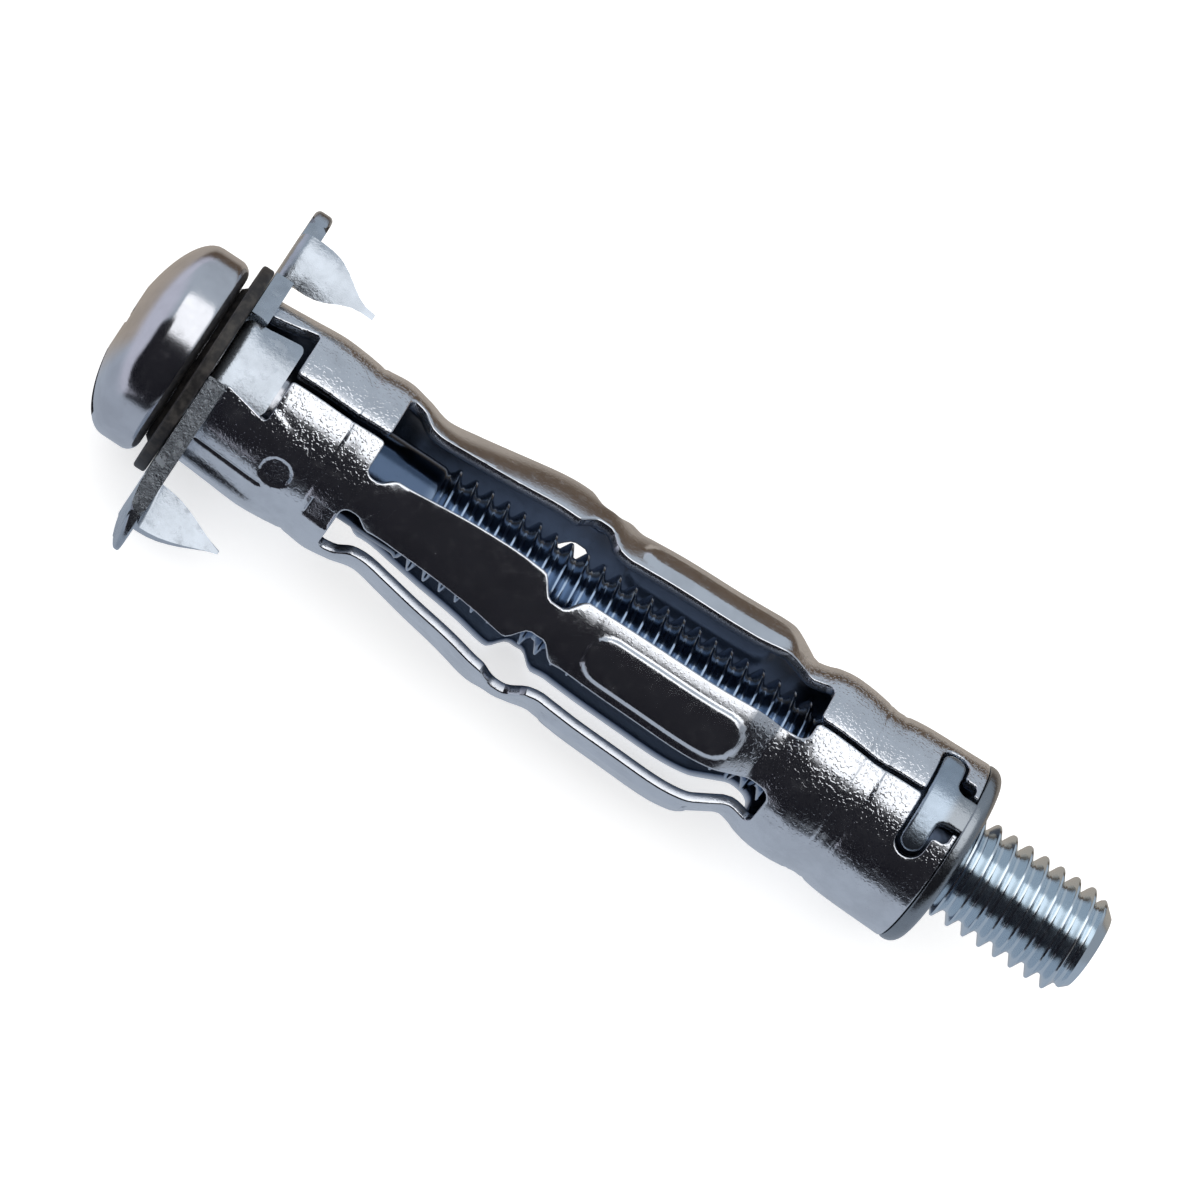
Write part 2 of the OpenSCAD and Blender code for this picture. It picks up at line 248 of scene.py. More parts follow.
# One pitch of the thread as (share of the pitch, radius), from root to root
thread_form = [
    (0.0, ROOT_R), (0.08, ROOT_R + 0.012), (0.13, ROOT_R + 0.06), (0.27, ROOT_R + 0.31),
    (0.405, THREAD_R - 0.06), (0.445, THREAD_R - 0.01), (0.5, THREAD_R), (0.555, THREAD_R - 0.01),
    (0.595, THREAD_R - 0.06), (0.73, ROOT_R + 0.31), (0.87, ROOT_R + 0.06), (0.92, ROOT_R + 0.012)]


# The thread's radius at a share of the pitch
def thread_radius(share):
    share %= 1
    points = thread_form + [(1.0, ROOT_R)]
    for (a, r_a), (b, r_b) in zip(points, points[1:]):
        if share <= b:
            return r_a + (r_b - r_a) * (share - a) / (b - a)


# 0 below low, 1 above high and a smooth step between them
def smooth(low, high, value):
    t = min(max((value - low) / (high - low), 0), 1)
    return t * t * (3 - 2 * t)


# Spins a profile of (x, radius) points once round the axis
def lathe(profile, steps=96, closed=False):
    form = bmesh.new()
    ring = [form.verts.new((x, 0, r)) for x, r in profile]
    for one, two in zip(ring, ring[1:] + ring[:1] if closed else ring[1:]):
        form.edges.new((one, two))
    bmesh.ops.spin(form, geom=form.verts[:] + form.edges[:], cent=(0, 0, 0), axis=(1, 0, 0),
                   dvec=(0, 0, 0), angle=2 * math.pi, steps=steps, use_merge=True)
    bmesh.ops.remove_doubles(form, verts=form.verts, dist=1e-4)
    bmesh.ops.recalc_face_normals(form, faces=form.faces)
    return form


# Points of a round corner of the given radius about a centre, from one angle to another
def arc(x, r, radius, start, end, steps=6):
    return [(x + radius * math.cos(math.radians(start + (end - start) * i / steps)),
             r + radius * math.sin(math.radians(start + (end - start) * i / steps)))
            for i in range(steps + 1)]


# The threaded bar: its grid of edges winds with the thread, so crest and root are whole edges
first_turn = math.floor(SHANK_END_X - 1 - CREST_X)
turns = math.ceil(TIP_X - SHANK_END_X) + 4
bar = bmesh.new()
line = [bar.verts.new(((first_turn + n + share - 0.5) * PITCH + CREST_X, 0, THREAD_R))
        for n in range(turns) for share, _ in thread_form]
for one, two in zip(line, line[1:]):
    bar.edges.new((one, two))
winding = 72
bmesh.ops.spin(bar, geom=bar.verts[:] + bar.edges[:], cent=(0, 0, 0), axis=(1, 0, 0),
               dvec=(PITCH / winding, 0, 0), angle=2 * math.pi, steps=winding)
bmesh.ops.remove_doubles(bar, verts=bar.verts, dist=1e-4)
for vert in bar.verts:
    x = vert.co.x
    turn = (math.atan2(-vert.co.y, vert.co.z) / (2 * math.pi)) % 1
    share = (x - CREST_X) / PITCH - turn + 0.5
    r = thread_radius(share)
    r = SHANK_R + (r - SHANK_R) * smooth(SHANK_END_X, SHANK_END_X + RUN_OUT, x)
    r = min(r, THREAD_R - (x - TIP_X + TIP_CHAMFER) * (THREAD_R - TIP_R) / TIP_CHAMFER)
    scale = r / math.hypot(vert.co.y, vert.co.z)
    vert.co.y *= scale
    vert.co.z *= scale
for x, way in ((SHANK_END_X - 0.4, -1), (TIP_X, 1)):
    bmesh.ops.bisect_plane(bar, geom=bar.verts[:] + bar.edges[:] + bar.faces[:], plane_co=(x, 0, 0),
                           plane_no=(way, 0, 0), clear_outer=True)
open_ends = [e for e in bar.edges if e.is_boundary]
tip_rim = [e for e in open_ends if e.verts[0].co.x > TIP_X - 1]
shank_rim = [e for e in open_ends if e not in tip_rim]
bmesh.ops.edgeloop_fill(bar, edges=tip_rim)
pulled = bmesh.ops.extrude_edge_only(bar, edges=shank_rim)["geom"]
for vert in pulled:
    if isinstance(vert, bmesh.types.BMVert):
        vert.co.x = HEAD_X - 0.5
bmesh.ops.edgeloop_fill(bar, edges=[e for e in bar.edges if e.is_boundary])
bmesh.ops.recalc_face_normals(bar, faces=bar.faces)


# Takes a form through Blender's modifiers and gives back the finished form
def worked(form, *steps):
    mesh = bpy.data.meshes.new("blank")
    form.to_mesh(mesh)
    form.free()
    blank = bpy.data.objects.new("blank", mesh)
    bpy.context.collection.objects.link(blank)
    for kind, settings in steps:
        modifier = blank.modifiers.new(kind.lower(), kind)
        for name, setting in settings.items():
            setattr(modifier, name, setting)
    finished = bmesh.new()
    finished.from_object(blank, bpy.context.evaluated_depsgraph_get())
    bpy.data.objects.remove(blank)
    bpy.data.meshes.remove(mesh)
    return finished


# Puts a second form into the first one
def add_form(form, extra):
    mesh = bpy.data.meshes.new("part")
    extra.to_mesh(mesh)
    extra.free()
    form.from_mesh(mesh)
    bpy.data.meshes.remove(mesh)


# The head: a lathed pan with a soft rim, and the recess punched into its dome
dome_rise = math.sqrt(1 - (DOME_FLAT_R / HEAD_R) ** 2)
dome = [(HEAD_X - HEAD_H + DOME_H * (1 - math.sin(math.radians(a)) / dome_rise),
         HEAD_R * math.cos(math.radians(a))) for a in range(6, 70, 4)]
head = lathe(
    [(HEAD_X, 0), (HEAD_X, 3.0)] + arc(HEAD_X - 0.75, HEAD_R - 0.75, 0.75, 0, 90, 12)
    + [(HEAD_X - 1.2, HEAD_R), (HEAD_X - HEAD_H + DOME_H, HEAD_R)] + dome
    + [(HEAD_X - HEAD_H, DOME_FLAT_R), (HEAD_X - HEAD_H, 0)], steps=128)

SLOT_TURN = 17
along_slot = Vector((0, math.cos(math.radians(SLOT_TURN)), math.sin(math.radians(SLOT_TURN))))
out_of_head = Vector((-1, 0, 0))
recess_frame = Matrix((along_slot, out_of_head.cross(along_slot), out_of_head)).transposed().to_4x4()
recess_frame.translation = (HEAD_X - HEAD_H, 0, 0)


# A punch with a level floor, as long and wide at the top as given and tapered towards the floor
def punch(length, floor_length, width, floor_width, depth, turn=0):
    form = bmesh.new()
    bmesh.ops.create_cube(form, size=2)
    for vert in form.verts:
        top = vert.co.z > 0
        vert.co.x *= (length if top else floor_length) / 2
        vert.co.y *= (width if top else floor_width) / 2
        vert.co.z = 1.0 if top else -depth
    turned = recess_frame @ Matrix.Rotation(math.radians(turn), 4, "Z")
    bmesh.ops.transform(form, matrix=turned, verts=form.verts)
    return form


# Presses punches into a form, one after the other
def punched(form, *punches):
    for tool in punches:
        mesh = bpy.data.meshes.new("punch")
        tool.to_mesh(mesh)
        tool.free()
        cutter = bpy.data.objects.new("punch", mesh)
        bpy.context.collection.objects.link(cutter)
        form = worked(form, ("BOOLEAN", {"operation": "DIFFERENCE", "object": cutter, "solver": "EXACT"}))
        bpy.data.objects.remove(cutter)
        bpy.data.meshes.remove(mesh)
    return form


head = punched(head, punch(14, 14, 1.3, 1.3, 1.2), punch(5.6, 2.0, 1.25, 1.0, 2.5),
               punch(5.6, 2.0, 1.25, 1.0, 2.5, 90))
head = worked(head, ("BEVEL", {
    "width": 0.06, "segments": 2, "profile": 0.5, "limit_method": "ANGLE",
    "angle_limit": math.radians(35), "use_clamp_overlap": True}))
add_form(bar, head)


# The finish of everything but the washer: a bright zinc plating on steel. It mirrors the studio, with
# the fine grain of the steel below, a slight cloudiness, and dull spots where it was handled.
def zinc_plating(name, tint, roughness, grain, grain_size, cloud=0.12, inside_shade_tint=None, inner_radius=0,
                 shank_shade_and_tints=None, disc_shade_tint=None, smooth_legs=False):
    material = bpy.data.materials.new(name)
    material.use_nodes = True
    shader = Shader(material.node_tree)
    place = shader.node("ShaderNodeTexCoord", {}, {}, "Object")
    clouds = shader.noise(place, 1.9, 3.0, 0.6)
    specks = shader.noise(place, grain_size, 2.0, 0.7)
    dull = shader.noise(place, 0.7, 4.0, 0.7).step(0.5, 0.75)
    dark_tint = tuple(channel * 0.78 for channel in tint) + (1,)
    colour = shader.mix(clouds.step(0.35, 0.7) * cloud * 4, tint + (1,), dark_tint)
    dullness = roughness + dull * cloud + specks * 0.06
    relief = specks + clouds * 0.6
    along = shader.xyz(place)[0]
    if shank_shade_and_tints:
        # Painted shade: the plain shank and the thread inside the sleeve are painted dark, and past the nut
        # the colour turns to a light bluish tone
        plain, covered, free = shank_shade_and_tints
        colour = shader.mix(along.step(2 * MM, 6 * MM), colour, plain + (1,))
        colour = shader.mix(along.step(11.5 * MM, 13 * MM), colour, covered + (1,))
        colour = shader.mix(along.step(44 * MM, 45 * MM), colour, free + (1,))
    if disc_shade_tint:
        # Painted shade: the disc's face is painted darker than the tabs, which dims the ceiling that it
        # mirrors
        colour = shader.mix(along.step(43.2 * MM, 43.8 * MM), colour, disc_shade_tint + (1,))
    if smooth_legs:
        # The rings are coarser than the legs, which were drawn smooth, and coarsest on top
        coarse = 1 - along.step(8 * MM, 10 * MM) * along.step(34 * MM, 32 * MM)
        coarse = coarse * (shader.xyz(place)[2].step(3.0 * MM, 4.3 * MM) * 0.8 + 0.2)
        pits = shader.noise(place, 0.17, 1.0, 0.5).step(0.52, 0.70)
        relief = specks * 0.15 + clouds * 0.3 + pits * (0.15 + coarse * 0.85)
    if inside_shade_tint:
        # Painted shade: the inside faces are painted dark, standing for the shade that falls there, and made
        # a little duller
        inner = shader.node("ShaderNodeAttribute", {"attribute_name": "inside"}, {}, "Fac")
        if inner_radius:
            _, across, up = shader.xyz(place)
            off_axis = (across * across + up * up).math("SQRT")
            inner = off_axis.step(inner_radius * MM, (inner_radius - 0.3) * MM)
        colour = shader.mix(inner, colour, inside_shade_tint + (1,))
        dullness = dullness + inner * 0.2
    bump = shader.node("ShaderNodeBump", {}, {"Height": relief, "Distance": 0.05 * MM, "Strength": grain})
    metal = shader.node("ShaderNodeBsdfPrincipled", {}, {
        "Base Color": colour, "Metallic": 1.0, "Roughness": dullness, "Normal": bump})
    shader.node("ShaderNodeOutputMaterial", {}, {"Surface": metal})
    return material


# Turns a finished form into the piece that is shown in place of one node of the solids
def new_piece(name, form, material, body, node):
    mesh = bpy.data.meshes.new(name)
    bmesh.ops.scale(form, vec=(MM, MM, MM), verts=form.verts)
    form.to_mesh(mesh)
    form.free()
    mesh.materials.append(material)
    piece = bpy.data.objects.new(name, mesh)
    bpy.context.collection.objects.link(piece)
    mesh.shade_smooth()
    mesh.set_sharp_from_angle(angle=math.radians(38))
    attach(piece, body)
    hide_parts(node)


# The first two shank tints are painted shade for the length inside the sleeve
screw_zinc = zinc_plating("zinc_screw", (0.74, 0.75, 0.79), 0.13, 0.06, 0.12,
                          shank_shade_and_tints=((0.07, 0.105, 0.17), (0.27, 0.35, 0.47), (0.72, 0.80, 0.86)))
new_piece("machine_screw", bar, screw_zinc, "screw", "screw")


# ---- Washer --------------------------------------------------------------------------------------
# A thin black ring between the head and the plate, moulded with soft edges and held on the shank.
# Its inner part stands up towards the head as a black hub, a dark piece put into the gap under the head to
# stand for the shade there.
WASHER_EDGE = 0.16
SHADE_HUB_H = 0.29
WASHER_BORE_R = 2.75
SHADE_HUB_R = 4.8

washer_low, washer_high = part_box("washer")
near, far = washer_low.x / MM, washer_high.x / MM
washer_r = washer_high.z / MM
washer_form = lathe(
    [(near - SHADE_HUB_H, WASHER_BORE_R), (near - SHADE_HUB_H, SHADE_HUB_R - 0.25), (near, SHADE_HUB_R)]
    + arc(near + WASHER_EDGE, washer_r - WASHER_EDGE, WASHER_EDGE, 180, 90, 4)
    + arc(far - WASHER_EDGE, washer_r - WASHER_EDGE, WASHER_EDGE, 90, 0, 4)
    + [(far, WASHER_BORE_R)], steps=128, closed=True)

washer_black = bpy.data.materials.new("black_washer")
washer_black.use_nodes = True
shader = Shader(washer_black.node_tree)
place = shader.node("ShaderNodeTexCoord", {}, {}, "Object")
mottle = shader.noise(place, 0.5, 4.0, 0.6)
fine = shader.noise(place, 0.08, 3.0, 0.7)
colour = shader.mix(mottle.step(0.35, 0.7), (0.012, 0.011, 0.012, 1), (0.045, 0.040, 0.036, 1))
bump = shader.node("ShaderNodeBump", {}, {
    "Height": fine + mottle, "Distance": 0.015 * MM, "Strength": 0.5})
rubbery = shader.node("ShaderNodeBsdfPrincipled", {}, {
    "Base Color": colour, "Roughness": 0.42 + mottle * 0.2, "Normal": bump})
shader.node("ShaderNodeOutputMaterial", {}, {"Surface": rubbery})
new_piece("washer_ring", washer_form, washer_black, "washer", "washer")


# ---- Flange plate --------------------------------------------------------------------------------
# One stamped sheet: a round middle with two wings. Two prongs and two ears are cut free at its edge
# and bent square to it, the ears into the sleeve's slots. One wing's tip is pressed thin.
SHEET = 1.05
MIDDLE_R = 5.3
WING_R = 2.2
WING_REACH = 8.8
BEND_R = 0.25
PLATE_HOLE_R = 3.15
CUT_GAP = 0.25
EAR_W = 3.8
EAR_END_W = 4.3
EAR_L = 2.36
EAR_Z = 4.65
PRONG_Y = 6.87
PRONG_Z = 3.6
PRONG_W = 2.7
PRONG_L = 4.45
PRESSED_L = 3.0
PRESSED_T = 0.32
# The plate has settled a little off the axis, and turned a little round it
PLATE_SHIFT = (0.06, 0, 0)
PLATE_TURN = 4.5

fold_r = BEND_R + SHEET / 2
fold_arc = fold_r * math.pi / 2
ear_fold = EAR_Z - SHEET - BEND_R
prong_fold = PRONG_Z - SHEET - BEND_R
side_lean = math.acos((MIDDLE_R - WING_R) / WING_REACH)
side_turn = math.degrees(side_lean)


# Height of the plate's straight sides at a place along the wings
def side_z(y):
    return (MIDDLE_R - abs(y) * math.cos(side_lean)) / math.sin(side_lean)


# Half the plate's outline, with one ear and one prong laid flat: the prong is given by its half
# width and the droop of its middle line, at shares of its length
def half_plate(prong):
    ear_tip = ear_fold + fold_arc + EAR_L - BEND_R
    prong_gap = PRONG_W / 2 + CUT_GAP
    low, high = ([(PRONG_Y - side * half - droop, prong_fold + fold_arc + (PRONG_L - BEND_R) * share)
                  for share, half, droop in prong] for side in (1, -1))
    return (
        arc(-WING_REACH, 0, WING_R, 180, 180 - side_turn, 16)
        + [(-EAR_W / 2 - CUT_GAP, side_z(EAR_W / 2 + CUT_GAP)), (-EAR_W / 2 - CUT_GAP, ear_fold),
           (-EAR_W / 2, ear_fold), (-EAR_W / 2, ear_fold + fold_arc)]
        + arc(-EAR_END_W / 2 + 0.35, ear_tip - 0.35, 0.35, 180, 90, 4)
        + arc(EAR_END_W / 2 - 0.35, ear_tip - 0.35, 0.35, 90, 0, 4)
        + [(EAR_W / 2, ear_fold + fold_arc), (EAR_W / 2, ear_fold), (EAR_W / 2 + CUT_GAP, ear_fold),
           (EAR_W / 2 + CUT_GAP, side_z(EAR_W / 2 + CUT_GAP))]
        + [(PRONG_Y - prong_gap, side_z(PRONG_Y - prong_gap)), (PRONG_Y - prong_gap, prong_fold),
           (PRONG_Y - PRONG_W / 2, prong_fold)]
        + low + high[::-1]
        + [(PRONG_Y + PRONG_W / 2, prong_fold), (PRONG_Y + prong_gap, prong_fold),
           (PRONG_Y + prong_gap, side_z(PRONG_Y + prong_gap))]
        + arc(WING_REACH, 0, WING_R, side_turn, 0, 16)[:-1])


hooked_prong = [
    (0, 1.3, 0.1), (0.13, 1.28, 0.12), (0.25, 1.2, 0.15), (0.36, 1.05, 0.18), (0.47, 0.82, 0.21),
    (0.58, 0.57, 0.25), (0.7, 0.33, 0.31), (0.84, 0.19, 0.38), (1, 0.15, 0.41)]
straight_prong = [
    (0, 1.3, -0.1), (0.14, 1.26, -0.12), (0.28, 1.17, -0.13), (0.42, 1.0, -0.14), (0.56, 0.79, -0.15),
    (0.7, 0.55, -0.15), (0.84, 0.31, -0.15), (1, 0.08, -0.15)]
plate_outline = half_plate(hooked_prong) + [(-y, -z) for y, z in half_plate(straight_prong)]


# Fills closed outlines, holes among them, and rules the sheet with straight lines
def flat_sheet(outlines, rulings):
    form = bmesh.new()
    for outline in outlines:
        ring = [form.verts.new((u, v, 0)) for u, v in outline]
        for one, two in zip(ring, ring[1:] + ring[:1]):
            form.edges.new((one, two))
    bmesh.ops.triangle_fill(form, use_beauty=True, use_dissolve=False, edges=form.edges[:], normal=(0, 0, 1))
    for axis, places in rulings:
        for place in places:
            bmesh.ops.bisect_plane(
                form, geom=form.verts[:] + form.edges[:] + form.faces[:], dist=1e-5,
                plane_co=(place, 0, 0) if axis == 0 else (0, place, 0),
                plane_no=(1, 0, 0) if axis == 0 else (0, 1, 0))
    return form


# Evenly spaced places from low to high
def steps_between(low, high, count):
    return [low + (high - low) * i / count for i in range(count + 1)]


prong_base = prong_fold + fold_arc
fold_lines = (
    steps_between(ear_fold, ear_fold + fold_arc, 10) + steps_between(prong_fold, prong_base, 10)
    + steps_between(prong_base, prong_base + PRONG_L - BEND_R, 9)[1:-1])
prong_lines = [side * (PRONG_Y + away) for side in (1, -1) for away in (-0.9, -0.6, -0.3, 0, 0.3, 0.6, 0.9)]
ear_lines = steps_between(-1.8, 1.8, 12)
plate = flat_sheet(
    [plate_outline, arc(0, 0, PLATE_HOLE_R, 0, 360, 96)[:-1]],
    [(1, fold_lines), (1, [-line for line in fold_lines]), (0, prong_lines + ear_lines)])
for vert in plate.verts:
    y, z = vert.co.x, vert.co.y
    side = 1 if z > 0 else -1
    y, z = y * side, z * side
    is_ear = abs(y) < EAR_W / 2 + 0.12 or (abs(y) < EAR_END_W / 2 + 0.1 and z > MIDDLE_R)
    is_prong = abs(y - PRONG_Y) < PRONG_W / 2 + 0.2
    x = -SHEET / 2
    fold = ear_fold if is_ear else prong_fold
    if (is_ear or is_prong) and z > fold:
        run = z - fold
        turn = min(run / fold_r, math.pi / 2)
        x += fold_r * (1 - math.cos(turn)) + max(run - fold_arc, 0)
        z = fold + fold_r * math.sin(turn)
        if is_prong:
            # The prongs are dished, twisted a little, and lean in towards their points
            share = max(run - fold_arc, 0) / PRONG_L
            away = y - PRONG_Y
            dish, twist = (0.05, -0.2) if side < 0 else (0.24, -0.1)
            z -= 0.10 * share + (dish * (away / PRONG_W * 2) ** 2 + twist * away) * min(run / fold_arc, 1)
        else:
            # The ears are curved with the tube
            z -= y ** 2 / 12 * min(run / fold_arc, 1)
    vert.co = (x, y * side, z * side)
bmesh.ops.recalc_face_normals(plate, faces=plate.faces)
plate = worked(plate, ("SOLIDIFY", {"thickness": SHEET, "offset": 0, "use_even_offset": True}))
# The folds are struck nearly square on their outside
for vert in plate.verts:
    fold = ear_fold if abs(vert.co.y) < EAR_END_W / 2 + 0.1 else prong_fold
    to_x, to_z = BEND_R - vert.co.x, abs(vert.co.z) - fold
    on_prong = abs(vert.co.y * math.copysign(1, vert.co.z) - PRONG_Y) < PRONG_W / 2 + 0.2
    if to_x > 0.01 and to_z > 0.01 and math.hypot(to_x, to_z) > fold_r + SHEET / 4 and (
            abs(vert.co.y) < EAR_W / 2 + 0.12 or on_prong):
        share = math.atan2(to_z, to_x)
        square = (math.cos(share) ** 4 + math.sin(share) ** 4) ** -0.25
        vert.co.x = BEND_R - to_x * square
        vert.co.z = math.copysign(fold + to_z * square, vert.co.z)
    elif on_prong and vert.co.x > BEND_R:
        # The prongs thin towards their points
        share = (vert.co.x - BEND_R) / (PRONG_L - BEND_R)
        middle_z = fold + fold_r - 0.1 * share
        thinned_z = middle_z + (abs(vert.co.z) - middle_z) * (1 - 0.65 * share ** 1.5)
        vert.co.z = math.copysign(thinned_z, vert.co.z)

# The wings' round ends have lost their corners, and one of them is pressed thin
wing_ends = [edge for edge in plate.edges if edge.is_manifold and edge.calc_face_angle() > math.radians(45)
             and all(abs(vert.co.y) > WING_REACH + 0.7 for vert in edge.verts)]
bmesh.ops.bevel(plate, geom=wing_ends, offset=0.3, offset_type="OFFSET", affect="EDGES", segments=4,
                profile=0.5, material=-1, clamp_overlap=False)
pressed_y = -WING_REACH - WING_R + PRESSED_L
for vert in plate.verts:
    if vert.co.y < pressed_y:
        share = (pressed_y - vert.co.y) / PRESSED_L
        vert.co.x *= 1 - (1 - PRESSED_T / SHEET) * share ** 1.4
bmesh.ops.rotate(plate, cent=(0, 0, 0), matrix=Matrix.Rotation(math.radians(PLATE_TURN), 3, "X"),
                 verts=plate.verts)
bmesh.ops.translate(plate, vec=PLATE_SHIFT, verts=plate.verts)
plate_zinc = zinc_plating("zinc_plate", (0.57, 0.62, 0.68), 0.20, 0.22, 0.2, 0.2)
new_piece("wing_plate", plate, plate_zinc, "root", "flange_plate")


# ---- Sleeve --------------------------------------------------------------------------------------
# One sheet of zinc-plated steel, punched flat and rolled into a tube that isn't welded. Five legs bow
# out between its two plain rings, thinned at a root and a waist notch, where they fold in the wall.
SLEEVE_L = 44.5
SLEEVE_SHEET = 0.6
SLEEVE_EDGE = 0.1
ROUND = 0.09
WINDOW_X = 8.5
WINDOW_END_X = 35.2
LEG_HALF = 20.0
ROOT_X = 9.25
ROOT_HALF = [12.3, 17.0, 12.3, 12.3, 12.3]
WAIST_X = 20.45
WAIST_HALF = 9.5
SEAM = (-0.8, -6.2)
SEAM_TAIL = (0.3, -2.8)
EAR_SLOT_L = 2.72
HOOK_SLOT_X = 41.78
HOOK_SLOT_END_X = 43.42
HOOK_SLOT_HALF = 39.5
NECK_SLOT_HALF = 13.5
EAR_SLOT_HALF = 29
EAR_SLOT_END_HALF = 35.8
RELIEF_L = 0.8
RELIEF_HALF = 21.5
# What the press raised and sank: the legs' panels, two punch marks, a slit, a nick and the creases
# round the rings, by their places along the sleeve and their angles from the seam
PANEL_X = 27.65
PANEL_TURN = -1.5
PANEL_HALF_L = 3.4
PANEL_R = 1.1
PANEL_RISE = 0.16
ROUND_MARK = (4.58, 301.6)
ROUND_MARK_R = 0.85
SQUARE_MARK = (7.66, 293.5)
SLIT = (2.2, 288.6)
SLIT_HALF_L = 2.0
NICK = (36.1, 292)
CREASES = [(6.5, 0.05), (38.42, 0.04), (39.46, 0.05)]
CREASE_HALF = 0.2

# Outside radius of the sleeve along its length
swells = [
    (-0.5, 4.93), (0.2, 4.95), (2.0, 5.08), (3.9, 5.21), (5.4, 5.12), (6.48, 5.01), (8.05, 5.13), (9.4, 4.93),
    (10.76, 4.645), (12.4, 4.885), (14.3, 5.24), (16.2, 5.58), (18.1, 5.92), (18.8, 5.99), (19.6, 6.02),
    (20.6, 6.03), (21.2, 5.90), (21.9, 5.69), (22.5, 5.57), (23.1, 5.62), (25.0, 5.77), (27.9, 5.87),
    (30.2, 5.95), (31.3, 5.92), (32.0, 5.80), (32.6, 5.50), (33.2, 5.15), (33.85, 4.80), (34.5, 4.87),
    (35.1, 5.08), (36.0, 5.25), (37.2, 5.25), (38.3, 5.13), (39.0, 5.02), (40.2, 5.18), (41.1, 5.25),
    (43.4, 5.32), (44.5, 5.35), (45.0, 5.35)]


# A smooth curve through the stations: its height and slope at a place
def along_curve(stations, x):
    i = max(1, min(len(stations) - 3, sum(1 for place, _ in stations if place <= x) - 1))
    (x0, y0), (x1, y1), (x2, y2), (x3, y3) = stations[i - 1:i + 3]
    span = x2 - x1
    t = (x - x1) / span
    rise_1 = (y2 - y0) / (x2 - x0) * span
    rise_2 = (y3 - y1) / (x3 - x1) * span
    height = ((2 * t**3 - 3 * t**2 + 1) * y1 + (t**3 - 2 * t**2 + t) * rise_1
              + (3 * t**2 - 2 * t**3) * y2 + (t**3 - t**2) * rise_2)
    slope = ((6 * t**2 - 6 * t) * (y1 - y2) + (3 * t**2 - 4 * t + 1) * rise_1 + (3 * t**2 - 2 * t) * rise_2)
    return height, slope / span


# The legs' places round the tube, from the seam. The first one leans as it bows out.
leg_places = [43.5, 106.3, 175.0, 254.0, 323.5]


# The middle of a leg, in degrees from the seam
def leg_centre(leg, x):
    lean = 3.5 - 7 * smooth(9.5, 17, x) * (1 - smooth(30, 34.5, x)) if leg == 0 else 0
    low_root = 4.5 * (1 - smooth(9.3, 15, x)) if leg == 4 else 0
    return leg_places[leg] + lean - low_root


# 1 in the middle of a notch, falling smoothly to 0 at its ends
def dip(t):
    return (1 + math.cos(math.pi * t)) / 2 if abs(t) < 1 else 0


# Half the angle that a leg takes up
def leg_half(leg, x):
    root = dip(max(x - ROOT_X, 0) / 1.05)
    waist = dip(max(abs(x - WAIST_X) - 0.35, 0) / 1.15)
    return LEG_HALF - (LEG_HALF - ROOT_HALF[leg]) * root - (LEG_HALF - WAIST_HALF) * waist


# One side of a leg, from one end of the windows to the other
def leg_side(leg, side):
    return [(x, leg_centre(leg, x) + side * leg_half(leg, x), 0)
            for x in steps_between(WINDOW_X + 0.5, WINDOW_END_X - 0.55, 104)]


# Rounds the corners of an outline of (length, angle, corner radius) and lays it flat
def rounded_off(points):
    outline = []
    flat = [(Vector((x, a * ROUND)), radius) for x, a, radius in points]
    for i, (corner, radius) in enumerate(flat):
        back = (flat[i - 1][0] - corner).normalized()
        ahead = (flat[(i + 1) % len(flat)][0] - corner).normalized()
        if radius == 0 or abs(back.dot(ahead)) > 0.99:
            outline.append(tuple(corner))
            continue
        half = back.angle(ahead) / 2
        reach = radius / math.tan(half)
        centre = corner + (back + ahead).normalized() * radius / math.sin(half)
        start = corner + back * reach - centre
        sweep = start.angle_signed(corner + ahead * reach - centre)
        for k in range(6):
            turned = start.copy()
            turned.rotate(Matrix.Rotation(-sweep * k / 5, 2))
            outline.append(tuple(centre + turned))
    return outline


# An outline's points in the order that goes round the way asked for
def wound(outline, positive):
    area = sum(a[0] * b[1] - b[0] * a[1] for a, b in zip(outline, outline[1:] + outline[:1]))
    return outline if (area > 0) == positive else outline[::-1]


# Moves an outline to its left
def inset(outline, distance):
    moved = []
    for i, corner in enumerate(outline):
        back = (Vector(corner) - Vector(outline[i - 1])).normalized()
        ahead = (Vector(outline[(i + 1) % len(outline)]) - Vector(corner)).normalized()
        along = (back + ahead).normalized()
        stretch = distance / max(along.dot(ahead), 0.5)
        moved.append((corner[0] - along.y * stretch, corner[1] + along.x * stretch))
    return moved


